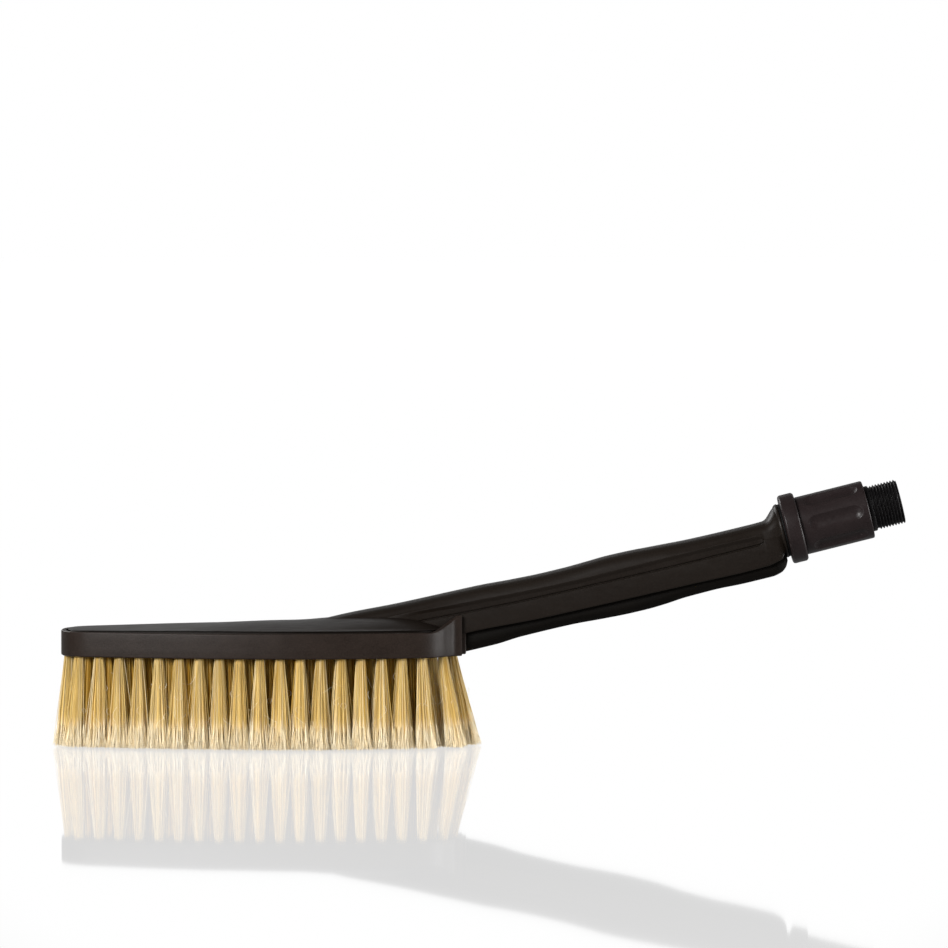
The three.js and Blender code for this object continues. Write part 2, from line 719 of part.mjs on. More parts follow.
for (let row = 1; row <= (COLUMN_COUNT - 1) / 2; row += 1) {
  addPiece(group, `tuft_row_${String(row).padStart(2, "0")}`, tuftRow(row), COLOURS.bristle, 0, 0.9);
}

const bounds = new THREE.Box3().setFromObject(group);
const centre = bounds.getCenter(new THREE.Vector3());
for (const mesh of group.children) {
  mesh.geometry.translate(-centre.x, -centre.y, -bounds.min.z);
  mesh.geometry.computeVertexNormals();
}

export default group;
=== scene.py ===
import math

import bpy
import numpy as np
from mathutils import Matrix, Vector


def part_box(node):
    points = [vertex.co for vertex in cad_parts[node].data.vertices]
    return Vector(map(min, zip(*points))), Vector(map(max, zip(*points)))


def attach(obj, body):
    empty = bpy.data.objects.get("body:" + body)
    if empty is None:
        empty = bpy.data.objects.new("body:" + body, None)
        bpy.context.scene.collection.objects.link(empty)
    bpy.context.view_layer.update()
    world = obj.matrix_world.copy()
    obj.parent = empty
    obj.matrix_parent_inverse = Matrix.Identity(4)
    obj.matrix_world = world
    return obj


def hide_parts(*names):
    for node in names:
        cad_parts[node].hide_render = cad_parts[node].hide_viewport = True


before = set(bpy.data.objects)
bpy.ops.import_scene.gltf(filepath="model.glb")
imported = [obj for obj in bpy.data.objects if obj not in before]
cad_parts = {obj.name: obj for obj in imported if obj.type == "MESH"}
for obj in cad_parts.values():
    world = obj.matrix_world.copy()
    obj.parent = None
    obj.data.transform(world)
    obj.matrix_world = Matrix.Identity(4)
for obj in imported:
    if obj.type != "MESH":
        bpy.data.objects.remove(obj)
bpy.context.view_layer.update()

# Lengths are in millimetres and become metres in add_mesh; those of the camera and the studio are in metres.
HEAD_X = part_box("block")[0].x * 1000

# Camera
CAMERA_LENS = 268.3
CAMERA_DISTANCE = 3.5
CAMERA_ELEVATION = math.radians(2.2)
AIM_X = 0.20455
AIM_Z = 0.1343

# Studio
ROOM_LEVEL = 0.12
BACKDROP_EDGE = (0.985, 0.993)
FLOOR_SIZE = 30.0
FLOOR_BOUNCE = 0.34
MIRROR_SHARE = 0.54
LIGHT_AIM = (0, 0, 0.07)

# Head
HEAD_LENGTH = 198.7
BLOCK_BOTTOM_Z = 45.0
RIM_TOP_Z = 57.4
RIM_FILLET = 0.7
RECESS_FLOOR_Z = 52.6
RECESS_INSET = 2.4
LOWER_FILLET = 0.7
PLUG_TOP_Z = 57.0
PLUG_START_X = 193.0
PLUG_END_X = 200.6
PLUG_HALF_WIDTH = 11.0
CHEEK_RISE = 7.6
CHEEK_START_X = 184.0
CHEEK_END_X = 196.6
HANDLE_WAY = 14.3
HANDLE_WAY_Z = 54.1
HALF_OUTLINE = [
    (0, 0), (0.5, 8), (2.2, 14.5), (5.5, 19.5), (11, 23.5), (19, 26.5), (29, 29.6), (39, 32.4),
    (49, 35), (60, 37.5), (72, 40), (88, 42.4), (105, 43.8), (118, 44), (132, 43), (146, 41),
    (160, 38.6), (172, 36), (179, 34), (184, 31), (188.5, 26.5), (192, 21.5), (195, 17.8),
    (HEAD_LENGTH, 16.2),
]
DECK_INSET = 3.2
DECK_UNDER_Z = 53.0
DECK_TOP_Z = 58.78
DECK_ARCH = [
    (60, 0), (83, 1.3), (103, 2.3), (118, 2.7), (133, 4), (148, 5), (163, 5.7), (172, 5), (183, 2.6),
    (195, 0.4),
]
ARCH_START_X = 45.0
ARCH_END_X = 183.0
FRONT_DROP = 0.8
FRONT_DROP_END_X = 85.0

# Handle line
AXIS_ANGLE = math.radians(14.1)
AXIS_X = 357.7
AXIS_Z = 106.3
HANDLE_START = -245.0
HANDLE_HALF_WIDTH = 13.6
HANDLE_TOP = [
    (-245, 13.2), (-223, 13), (-193, 11.5), (-165, 10.7), (-152, 10.3), (-137, 9.3), (-121, 8.6),
    (-110, 8.5), (-98, 8.8), (-89, 9.1), (-78, 8.9), (-66, 8.25), (-45, 7.15), (-30, 6.85), (-14.5, 6.75),
    (-8, 6.9), (-4.5, 8), (-1.6, 10.8), (-0.8, 12.4), (0, 13.5),
]
HANDLE_LOW = [
    (-245, -10.2), (-165, -10.4), (-127, -12.3), (-101, -13), (-45, -14.2), (-25, -14.7), (-12, -14.6),
    (-5, -13.2), (0, -11.6),
]
FLUTE_TOP = [(-245, 6), (-194, 5.7), (-162, 3.7), (-134, 2.1), (-98, 0.9), (-42, 0.9), (-8, 0.2)]
FLUTE_LOW = [(-245, 1.6), (-194, 1.2), (-160, -0.4), (-134, -1.6), (-98, -2.5), (-42, -3.3), (-8, -3.3)]
FLUTE_DEPTH = 1.1
FLUTE_GROOVE = 0.7
FLUTE_RUN_IN = (-196, -180)
FLUTE_SHUT_START = -13.5
FLUTE_SHUT_LENGTH = 2.8
LIP_RADIUS = 13.5
LIP_BORE = 9.4
LIP_BLEND_TOP = (-10, -0.5)
LIP_BLEND_LOW = (-4.5, -0.3)
FINE_STATIONS_START = -24.0
KEEL_HALF_WIDTH = 10.4
KEEL_START = -169.0
KEEL_FRONT_X = 200.2
KEEL_CLOSING = -8.0
KEEL_END = -1.4
KEEL_BOTTOM = [
    (-170, -19.6), (-152, -19.8), (-138, -19.1), (-126, -19.15), (-112, -19.45), (-98, -20.35),
    (-83, -21.1), (-74, -21.2), (-66, -20.9), (-54, -20.05), (-40, -19.9), (-25, -20.5), (-11, -20.6),
    (-6, -19.7), (-3, -17.6), (-1.4, -14.6),
]

# Coupling
WASHER_START = 0.05
WASHER_END = 0.95
WASHER_BORE = 7.6
WASHER_RADIUS = 13.2
RING_START = 1.0
RING_END = 8.95
RING_RADIUS = 17.3
HUB_RADIUS = 11.0
SLEEVE_START = 9.0
SLEEVE_END = 43.4
SLEEVE_RADIUS = 14.5
SLEEVE_BORE = 7.4
SOCKET_DEPTH_AT = 25.8
SOCKET_RADIUS = 9.7
GRIP_END_ROUND = 0.9
GRIP_STEPS = 280
GRIP_FLUTES = 7
GRIP_FLUTE_DEPTH = 1.55
GRIP_FLUTE_WIDTH = 8.6
GRIP_FLUTE_TURN = math.radians(3)
NECK_RADIUS = 11.4
THREAD_RADIUS = 11.15
THREAD_DEPTH = 0.9
THREAD_PITCH = 1.5
THREAD_START = 46.0
THREAD_END = 59.9
INLET_RADIUS = 7.0
INLET_FLOOR_AT = 46.0
SPIGOT_START = 31.3
STEM_RADIUS = 9.35
OUTLET_RADIUS = 4.2
SPIGOT_STEPS = 96

# Bristles
COLUMN_PITCH = 4.97
COLUMN_COUNT = 39
TUFT_EDGE_MARGIN = 4.9
TUFT_SPACING = 12.4
FRONT_LEAN = 2.7
REAR_LEAN = 8.2
ROOT_Z = 46.0
SPLIT_Z = 11.0
STAGGER_SHIFT = 0.5
ROOT_RADIUS = 2.2
SHAFT_RADIUS = 0.17
OUTER_BRISTLES = 165
INNER_BRISTLES = 40
FILAMENTS = 4
# BACK_SHADE_TONE lies below FRONT_TONE: painted shade on the tufts behind the outer line.
FRONT_TONE = 0.62
BACK_SHADE_TONE = 0.3
TIP_SPREAD = (5.5, 5.6)
TUFT_ROWS = 19
STRAY_STEPS = 12


# ---- camera ----

def add_camera():
    data = bpy.data.cameras.new("camera")
    data.lens = CAMERA_LENS
    data.sensor_width = 36.0
    data.clip_end = 50.0
    camera = bpy.data.objects.new("camera", data)
    bpy.context.scene.collection.objects.link(camera)
    back = Vector((0, -math.cos(CAMERA_ELEVATION), math.sin(CAMERA_ELEVATION)))
    camera.location = Vector((HEAD_X / 1000 + AIM_X, 0, AIM_Z)) + back * CAMERA_DISTANCE
    camera.rotation_mode = "QUATERNION"
    camera.rotation_quaternion = (-back).to_track_quat("-Z", "Y")
    bpy.context.scene.camera = camera


add_camera()


# ---- curves and meshes ----

def smooth_table(table, at):
    """A smooth curve through a table of points, with no overshoot at its ends."""
    xs = np.array([p[0] for p in table], float)
    ys = np.array([p[1] for p in table], float)
    slope = np.diff(ys) / np.diff(xs)
    tangent = np.zeros(len(xs))
    tangent[0], tangent[-1] = slope[0], slope[-1]
    for i in range(1, len(xs) - 1):
        if slope[i - 1] * slope[i] > 0:
            tangent[i] = 2 * slope[i - 1] * slope[i] / (slope[i - 1] + slope[i])
    at = np.clip(np.asarray(at, float), xs[0], xs[-1])
    i = np.clip(np.searchsorted(xs, at) - 1, 0, len(xs) - 2)
    h = xs[i + 1] - xs[i]
    t = (at - xs[i]) / h
    a = (1 + 2 * t) * (1 - t) ** 2 * ys[i] + t * (1 - t) ** 2 * h * tangent[i]
    b = t * t * (3 - 2 * t) * ys[i + 1] + t * t * (t - 1) * h * tangent[i + 1]
    return a + b


def smoothstep(low, high, value):
    t = np.clip((np.asarray(value, float) - low) / (high - low), 0, 1)
    return t * t * (3 - 2 * t)


def on_axis(along, across, off):
    """The point at a distance along the handle line, across it and off it."""
    c, s = math.cos(AXIS_ANGLE), math.sin(AXIS_ANGLE)
    return (AXIS_X + along * c - off * s, across, AXIS_Z + along * s + off * c)


def add_mesh(name, points, faces, material, body, nodes, angle=32):
    """A smooth-shaded piece from millimetre points, riding on a CAD body in place of CAD nodes."""
    points = np.asarray(points, float) + (HEAD_X, 0, 0)
    mesh = bpy.data.meshes.new(name)
    mesh.from_pydata((points / 1000).tolist(), [], faces)
    mesh.polygons.foreach_set("use_smooth", np.ones(len(mesh.polygons), bool))
    mesh.set_sharp_from_angle(angle=math.radians(angle))
    mesh.materials.append(material)
    mesh.update()
    piece = bpy.data.objects.new(name, mesh)
    bpy.context.scene.collection.objects.link(piece)
    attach(piece, body)
    if nodes:
        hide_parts(*nodes)
    return piece


def ring_faces(rings, count, first=0, wrap=False):
    faces = []
    last = rings if wrap else rings - 1
    for r in range(last):
        a0 = first + r * count
        b0 = first + ((r + 1) % rings) * count
        for i in range(count):
            j = (i + 1) % count
            faces.append((a0 + i, a0 + j, b0 + j, b0 + i))
    return faces


def cap_faces(start, count, flip):
    ring = list(range(start, start + count))
    return [tuple(reversed(ring)) if flip else tuple(ring)]


def zip_faces(start, count):
    """Faces across a narrow ring with two alike sides, from each point to its mirror point."""
    half = count // 2
    faces = [(start, start + 1, start + count - 1)]
    for i in range(1, half - 1):
        faces.append((start + i, start + i + 1, start + count - i - 1, start + count - i))
    faces.append((start + half - 1, start + half, start + half + 1))
    return faces


def loft(rings, caps=True, wrap=False, first=0):
    """Points and faces through rings of equal count."""
    count = len(rings[0])
    points = [p for ring in rings for p in ring]
    faces = ring_faces(len(rings), count, first, wrap)
    if caps and not wrap:
        faces += cap_faces(first, count, True)
        faces += cap_faces(first + (len(rings) - 1) * count, count, False)
    return points, faces


def turned(profile, around=96):
    """A body of revolution about the handle line from a closed profile of (along, radius)."""
    rings = []
    for along, radius in profile:
        angles = np.arange(around) / around * 2 * math.pi
        rings.append([on_axis(along, radius * math.sin(a), radius * math.cos(a)) for a in angles])
    return loft(rings, wrap=True)


def rounded(profile, radius, steps=4):
    """A closed profile with each listed corner rounded; radius is one number or one for each corner."""
    count = len(profile)
    radii = radius if isinstance(radius, (list, tuple)) else [radius] * count
    result = []
    for i, corner in enumerate(profile):
        if radii[i] <= 0:
            result.append(tuple(corner))
            continue
        p = np.array(corner, float)
        a = np.array(profile[i - 1], float) - p
        b = np.array(profile[(i + 1) % count], float) - p
        cut = min(radii[i], 0.45 * np.linalg.norm(a), 0.45 * np.linalg.norm(b))
        start = p + a / np.linalg.norm(a) * cut
        end = p + b / np.linalg.norm(b) * cut
        for k in range(steps + 1):
            t = k / steps
            result.append(tuple((1 - t) ** 2 * start + 2 * t * (1 - t) * p + t * t * end))
    return result


# ---- materials ----

def new_material(name):
    material = bpy.data.materials.new(name)
    material.use_nodes = True
    nodes = material.node_tree.nodes
    links = material.node_tree.links
    return material, nodes, links, nodes["Principled BSDF"]


def noise(nodes, links, scale, detail=3.0, stretch=None):
    coordinate = nodes.new("ShaderNodeTexCoord")
    source = coordinate.outputs["Object"]
    if stretch:
        mapping = nodes.new("ShaderNodeMapping")
        mapping.inputs["Scale"].default_value = stretch
        links.new(source, mapping.inputs["Vector"])
        source = mapping.outputs["Vector"]
    texture = nodes.new("ShaderNodeTexNoise")
    texture.inputs["Scale"].default_value = scale
    texture.inputs["Detail"].default_value = detail
    links.new(source, texture.inputs["Vector"])
    return texture.outputs["Fac"]


def ramp(nodes, links, source, stops):
    node = nodes.new("ShaderNodeValToRGB")
    elements = node.color_ramp.elements
    while len(elements) < len(stops):
        elements.new(0.5)
    for element, (position, colour) in zip(elements, stops):
        element.position = position
        element.color = (*colour, 1.0)
    links.new(source, node.inputs["Fac"])
    return node.outputs["Color"]


def spread(nodes, links, source, low, high):
    node = nodes.new("ShaderNodeMapRange")
    node.inputs["From Min"].default_value = 0.3
    node.inputs["From Max"].default_value = 0.7
    node.inputs["To Min"].default_value = low
    node.inputs["To Max"].default_value = high
    links.new(source, node.inputs["Value"])
    return node.outputs["Result"]


def mix_colour(nodes, links, factor, first, second):
    node = nodes.new("ShaderNodeMix")
    node.data_type = "RGBA"
    links.new(factor, node.inputs["Factor"])
    for socket, value in ((node.inputs[6], first), (node.inputs[7], second)):
        if isinstance(value, tuple):
            socket.default_value = (*value, 1.0)
        else:
            links.new(value, socket)
    return node.outputs[2]


def bump(nodes, links, source, strength, distance, below=None):
    node = nodes.new("ShaderNodeBump")
    node.inputs["Strength"].default_value = strength
    node.inputs["Distance"].default_value = distance
    links.new(source, node.inputs["Height"])
    if below is not None:
        links.new(below, node.inputs["Normal"])
    return node.outputs["Normal"]


def moulded_plastic(name, dark, light, rough, shine, grain=2600, mottle=110, relief=0.12, stretch=None,
                    wear_and_highlight=0.2):
    """Moulded plastic: mottled colour, spark-eroded grain, uneven gloss and paler edges, partly wear and
    partly a painted highlight.
    """
    material, nodes, links, shader = new_material(name)
    patches = noise(nodes, links, mottle, 4.0, stretch)
    speckle = noise(nodes, links, grain, 2.0)
    base = ramp(nodes, links, patches, [(0.32, dark), (0.68, light)])
    flecked = mix_colour(nodes, links, spread(nodes, links, speckle, 0.0, 0.7), base,
                         tuple(min(c * 1.5 + 0.002, 1.0) for c in light))
    # Convex edges are lightened: partly wear, partly a painted highlight.
    geometry = nodes.new("ShaderNodeNewGeometry")
    edge = nodes.new("ShaderNodeMapRange")
    edge.inputs["From Min"].default_value = 0.53
    edge.inputs["From Max"].default_value = 0.62
    edge.inputs["To Max"].default_value = wear_and_highlight
    links.new(geometry.outputs["Pointiness"], edge.inputs["Value"])
    worn_and_highlit = mix_colour(nodes, links, edge.outputs["Result"], flecked,
                      tuple(min(c * 2.6 + 0.02, 1.0) for c in light))
    links.new(worn_and_highlit, shader.inputs["Base Color"])
    scuffs = noise(nodes, links, 420, 5.0, stretch)
    links.new(spread(nodes, links, scuffs, rough - 0.04, rough + 0.05), shader.inputs["Roughness"])
    fine = bump(nodes, links, speckle, relief, 0.0002)
    waves = noise(nodes, links, 45, 1.0)
    links.new(bump(nodes, links, waves, 0.05, 0.0012, fine), shader.inputs["Normal"])
    shader.inputs["Specular IOR Level"].default_value = shine
    return material


def bristle_material():
    """Straw-coloured bristle: each has its own tone, lowered as painted shade on tufts behind the outer line;
    painted shade near the block; whitish and frayed at its tip.
    """
    material, nodes, links, shader = new_material("bristle_hair")
    tone_and_shade = nodes.new("ShaderNodeAttribute")
    tone_and_shade.attribute_name = "tone_and_shade"
    reach = nodes.new("ShaderNodeAttribute")
    reach.attribute_name = "reach"
    shade = ramp(nodes, links, tone_and_shade.outputs["Fac"], [
        (0.0, (0.20, 0.075, 0.003)), (0.3, (0.50, 0.28, 0.035)), (0.65, (0.74, 0.55, 0.21)),
        (1.0, (0.82, 0.71, 0.46))])
    streak = noise(nodes, links, 900, 2.0, (1.0, 1.0, 0.04))
    streaked = mix_colour(nodes, links, spread(nodes, links, streak, 0.0, 0.3), shade, (0.42, 0.24, 0.03))
    # Painted shade: the bristles darken towards the block, as if shaded by it and by one another.
    root_shade = nodes.new("ShaderNodeMapRange")
    root_shade.inputs["From Min"].default_value = 0.0
    root_shade.inputs["From Max"].default_value = 0.35
    root_shade.inputs["To Min"].default_value = 0.3
    root_shade.inputs["To Max"].default_value = 0.0
    links.new(reach.outputs["Fac"], root_shade.inputs["Value"])
    shaded = mix_colour(nodes, links, root_shade.outputs["Result"], streaked, (0.20, 0.085, 0.003))
    tip = nodes.new("ShaderNodeMapRange")
    tip.inputs["From Min"].default_value = 0.66
    tip.inputs["From Max"].default_value = 0.9
    links.new(reach.outputs["Fac"], tip.inputs["Value"])
    pale = ramp(nodes, links, tone_and_shade.outputs["Fac"], [
        (0.0, (0.89, 0.65, 0.34)), (0.5, (0.96, 0.79, 0.50)), (1.0, (0.98, 0.88, 0.66))])
    links.new(mix_colour(nodes, links, tip.outputs["Result"], shaded, pale), shader.inputs["Base Color"])
    links.new(spread(nodes, links, streak, 0.38, 0.55), shader.inputs["Roughness"])
    shader.inputs["Specular IOR Level"].default_value = 0.05
    return material


def metal(name, colour, rough, grain):
    material, nodes, links, shader = new_material(name)
    lines = noise(nodes, links, grain, 3.0)
    tint = ramp(nodes, links, lines, [(0.3, tuple(c * 0.8 for c in colour)), (0.7, colour)])
    links.new(tint, shader.inputs["Base Color"])
    links.new(spread(nodes, links, lines, rough - 0.06, rough + 0.1), shader.inputs["Roughness"])
    shader.inputs["Metallic"].default_value = 1.0
    return material


def floor_material():
    """White studio floor: evenly bright, with a faint clear mirror image of what stands on it."""
    material = bpy.data.materials.new("studio_floor")
    material.use_nodes = True
    nodes = material.node_tree.nodes
    links = material.node_tree.links
    nodes.remove(nodes["Principled BSDF"])
    glow = nodes.new("ShaderNodeEmission")
    glow.inputs["Color"].default_value = (1.0, 1.0, 1.0, 1.0)
    path = nodes.new("ShaderNodeLightPath")
    level = nodes.new("ShaderNodeMapRange")
    level.inputs["To Min"].default_value = FLOOR_BOUNCE
    level.inputs["To Max"].default_value = 1.0
    links.new(path.outputs["Is Camera Ray"], level.inputs["Value"])
    links.new(level.outputs["Result"], glow.inputs["Strength"])
    mirror = nodes.new("ShaderNodeBsdfGlossy")
    mirror.inputs["Roughness"].default_value = 0.03
    mirror.inputs["Color"].default_value = (1.0, 1.0, 1.0, 1.0)
    slant = nodes.new("ShaderNodeFresnel")
    slant.inputs["IOR"].default_value = 1.45
    share = nodes.new("ShaderNodeMath")
    share.operation = "MULTIPLY"
    share.inputs[1].default_value = MIRROR_SHARE
    links.new(slant.outputs["Fac"], share.inputs[0])
    mix = nodes.new("ShaderNodeMixShader")
    links.new(share.outputs["Value"], mix.inputs["Fac"])
    links.new(glow.outputs["Emission"], mix.inputs[1])
    links.new(mirror.outputs["BSDF"], mix.inputs[2])
    links.new(mix.outputs["Shader"], nodes["Material Output"].inputs["Surface"])
    return material


BLOCK_PLASTIC = moulded_plastic(
    "block_plastic", (0.0088, 0.0054, 0.0038), (0.0145, 0.0094, 0.0070), 0.44, 0.16, grain=1500, relief=0.35)
SHELL_PLASTIC = moulded_plastic(
    "shell_plastic", (0.0046, 0.0029, 0.0019), (0.0078, 0.0054, 0.0038), 0.40, 0.14,
    mottle=60, relief=0.04, stretch=(0.25, 1.0, 1.0))
KEEL_PLASTIC = moulded_plastic(
    "keel_plastic", (0.0012, 0.0009, 0.0006), (0.0026, 0.002, 0.0014), 0.6, 0.06,
    mottle=80, relief=0.08, wear_and_highlight=0.1)
# The strong edge lightening here is a painted highlight line along the edges of the collar and the grip.
COLLAR_PLASTIC = moulded_plastic(
    "collar_plastic", (0.0078, 0.0048, 0.0048), (0.0130, 0.0088, 0.0088), 0.36, 0.17,
    mottle=140, relief=0.06, wear_and_highlight=0.6)
SPIGOT_PLASTIC = moulded_plastic(
    "spigot_plastic", (0.0016, 0.0013, 0.0014), (0.0036, 0.0030, 0.0032), 0.48, 0.15, mottle=160, relief=0.05)
TUBE_PLASTIC = moulded_plastic(
    "tube_plastic", (0.24, 0.26, 0.29), (0.30, 0.32, 0.35), 0.45, 0.4, relief=0.04)
WASHER_PLASTIC = moulded_plastic(
    "washer_plastic", (0.002, 0.002, 0.002), (0.004, 0.004, 0.004), 0.6, 0.1, relief=0.04)
SEAL_RUBBER = moulded_plastic(
    "seal_rubber", (0.006, 0.006, 0.006), (0.012, 0.012, 0.012), 0.7, 0.3, relief=0.1)
NOSE_PLASTIC = moulded_plastic(
    "nose_plastic", (0.007, 0.0065, 0.006), (0.012, 0.011, 0.0105), 0.4, 0.4,
    relief=0.03, stretch=(0.2, 1.0, 1.0))
CLIP_STEEL = metal("clip_steel", (0.42, 0.43, 0.45), 0.35, 1200)
BRISTLE = bristle_material()


def finish_cad_nodes():
    looks = {
        "water_tube": TUBE_PLASTIC, "tube_seal": SEAL_RUBBER, "swivel_nose": NOSE_PLASTIC,
        "nose_seal_rear": SEAL_RUBBER, "nose_seal_front": SEAL_RUBBER, "retaining_clip": CLIP_STEEL,
    }
    for node, material in looks.items():
        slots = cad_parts[node].data.materials
        slots.clear()
        slots.append(material)


# ---- head ----

def half_outline(steps=9):
    """Half of the head's outline, smooth through its points and rounded at its rear corner."""
    points = np.array(HALF_OUTLINE, float)
    chord = np.concatenate([[0], np.cumsum(np.linalg.norm(np.diff(points, axis=0), axis=1) ** 0.5)])
    before = np.array([points[1][0], -points[1][1]])
    line = []
    for i in range(len(points) - 1):
        p0 = points[i - 1] if i else before
        p3 = points[i + 2] if i + 2 < len(points) else 2 * points[-1] - points[-2]
        p1, p2 = points[i], points[i + 1]
        h1 = chord[i + 1] - chord[i]
        h0 = np.linalg.norm(p1 - p0) ** 0.5
        h2 = np.linalg.norm(p3 - p2) ** 0.5
        m1 = ((p1 - p0) / h0 - (p2 - p0) / (h0 + h1) + (p2 - p1) / h1) * h1
        m2 = ((p2 - p1) / h1 - (p3 - p1) / (h1 + h2) + (p3 - p2) / h2) * h1
        for k in range(steps):
            t = k / steps
            line.append((2 * t**3 - 3 * t**2 + 1) * p1 + (t**3 - 2 * t**2 + t) * m1
                        + (-2 * t**3 + 3 * t**2) * p2 + (t**3 - t**2) * m2)
    line = [p for p in line if p[0] < HEAD_LENGTH - 0.9]
    line += [np.array([HEAD_LENGTH - 0.55, 16.25]), np.array([HEAD_LENGTH - 0.15, 16.0])]
    line += [np.array([HEAD_LENGTH, 15.6]), np.array([HEAD_LENGTH, HANDLE_WAY + 0.05])]
    line += [np.array([HEAD_LENGTH, HANDLE_WAY - 0.05]), np.array([HEAD_LENGTH, 7.0])]
    return np.array(line)


HALF = half_outline()
OUTLINE = np.concatenate([HALF, [[HEAD_LENGTH, 0]], HALF[1:][::-1] * (1, -1)])


def half_width(x):
    """Half the head's width at x, from the outline without the six points of its rear wall."""
    return float(np.interp(x, HALF[:-6, 0], HALF[:-6, 1]))


def inset(distance):
    """The outline moved inward, with its corners kept."""
    before = OUTLINE - np.roll(OUTLINE, 1, axis=0)
    after = np.roll(OUTLINE, -1, axis=0) - OUTLINE
    n1 = np.stack([before[:, 1], -before[:, 0]], 1)
    n2 = np.stack([after[:, 1], -after[:, 0]], 1)
    n1 /= np.linalg.norm(n1, axis=1, keepdims=True)
    n2 /= np.linalg.norm(n2, axis=1, keepdims=True)
    middle = n1 + n2
    middle /= np.linalg.norm(middle, axis=1, keepdims=True)
    reach = distance / np.maximum((middle * n1).sum(1), 0.5)
    return OUTLINE + middle * reach[:, None]


def cheek_rise(x):
    t = np.clip((x - CHEEK_START_X) / (CHEEK_END_X - CHEEK_START_X), 0, 1)
    return CHEEK_RISE * t**1.6


def outline_ring(distance, height, share=0.0, notch=False):
    """The inset outline at a height, raised at the cheeks by a share, cut down where the handle passes."""
    flat = inset(distance)
    z = height + cheek_rise(OUTLINE[:, 0]) * share
    if notch:
        open_way = (OUTLINE[:, 0] > HEAD_LENGTH - 0.2) & (abs(OUTLINE[:, 1]) < HANDLE_WAY)
        z = np.where(open_way, np.minimum(z, HANDLE_WAY_Z), z)
    return [(x, y, h) for (x, y), h in zip(flat, z)]


def add_block():
    rings = [outline_ring(6.0, BLOCK_BOTTOM_Z)]
    for k in range(5):
        a = k / 4 * math.pi / 2
        inward, upward = 1 - math.sin(a), 1 - math.cos(a)
        rings.append(outline_ring(LOWER_FILLET * inward, BLOCK_BOTTOM_Z + LOWER_FILLET * upward))
    wall_low, wall_high = BLOCK_BOTTOM_Z + LOWER_FILLET, RIM_TOP_Z - RIM_FILLET
    for share in (0.33, 0.66):
        rings.append(outline_ring(0.0, wall_low + share * (wall_high - wall_low), share, True))
    for k in range(8):
        a = k / 7 * math.pi / 2
        z = RIM_TOP_Z - RIM_FILLET * (1 - math.sin(a))
        rings.append(outline_ring(RIM_FILLET * (1 - math.cos(a)), z, 1.0, True))
    rings.append(outline_ring(RECESS_INSET, RIM_TOP_Z - 0.15, 1.0, True))
    rings.append(outline_ring(RECESS_INSET, RECESS_FLOOR_Z))
    points, faces = loft(rings)
    plug, plug_faces = rear_plug(len(points))
    add_mesh("block_body", points + plug, faces + plug_faces, BLOCK_PLASTIC, "brush", ["block"])


def rear_plug(first):
    """The short step of the block below the handle, behind its rear wall."""
    front, back, side = PLUG_START_X, PLUG_END_X, PLUG_HALF_WIDTH
    outline = rounded([(front, -side), (back, -side), (back, side), (front, side)], [0, 0.8, 0.8, 0])
    rings = []
    low, high = BLOCK_BOTTOM_Z + 0.6, PLUG_TOP_Z
    for grow, z in ((0.4, low), (0.0, low + 0.4), (0.0, high - 0.3), (0.3, high)):
        rings.append([(x - grow * (x > front), y * (1 - grow / side), z) for x, y in outline])
    return loft(rings, first=first)


# ---- upper shell: deck and handle ----

def front_drop(x):
    """How far the lid sinks towards the head's front end."""
    return FRONT_DROP * (1 - smoothstep(0, FRONT_DROP_END_X, x))


def arch_ring(share):
    """A ring of the lid between its edge (share 1) and its middle line (share 0), on the arched surface."""
    edge = np.array(outline_ring(DECK_INSET + 3.0, 0.0))
    middle = np.clip(edge[:, 0], ARCH_START_X, ARCH_END_X)
    x = middle + (edge[:, 0] - middle) * share
    rise = smooth_table(DECK_ARCH, x) * (1 - share**2.4)
    z = DECK_TOP_Z + 0.17 * (1 - share) + rise - front_drop(x)
    return list(zip(x, edge[:, 1] * share, z))


def deck_points(first):
    """The lid of the head: its edge overhangs a narrow gap to the rim, its surface swells to the handle."""
    crown = front_drop(OUTLINE[:, 0])
    profile = [
        (DECK_INSET + 1.5, DECK_UNDER_Z), (DECK_INSET + 1.2, DECK_UNDER_Z), (DECK_INSET + 1.2, 58.35),
        (DECK_INSET + 0.1, 58.42), (DECK_INSET, 58.46), (DECK_INSET + 0.05, 58.52),
        (DECK_INSET + 0.25, 58.6), (DECK_INSET + 0.7, 58.67), (DECK_INSET + 3.0, DECK_TOP_Z),
    ]
    rings = []
    for distance, z in profile:
        drop = crown if z > DECK_UNDER_Z else 0 * crown
        rings.append([(x, y, h - c) for (x, y, h), c in zip(outline_ring(distance, z), drop)])
    rings += [arch_ring(share) for share in np.linspace(0.94, 0.01, 15)]
    points, faces = loft(rings, caps=False, first=first)
    count = len(OUTLINE)
    faces += cap_faces(first, count, True)
    faces += zip_faces(first + (len(rings) - 1) * count, count)
    return points, faces


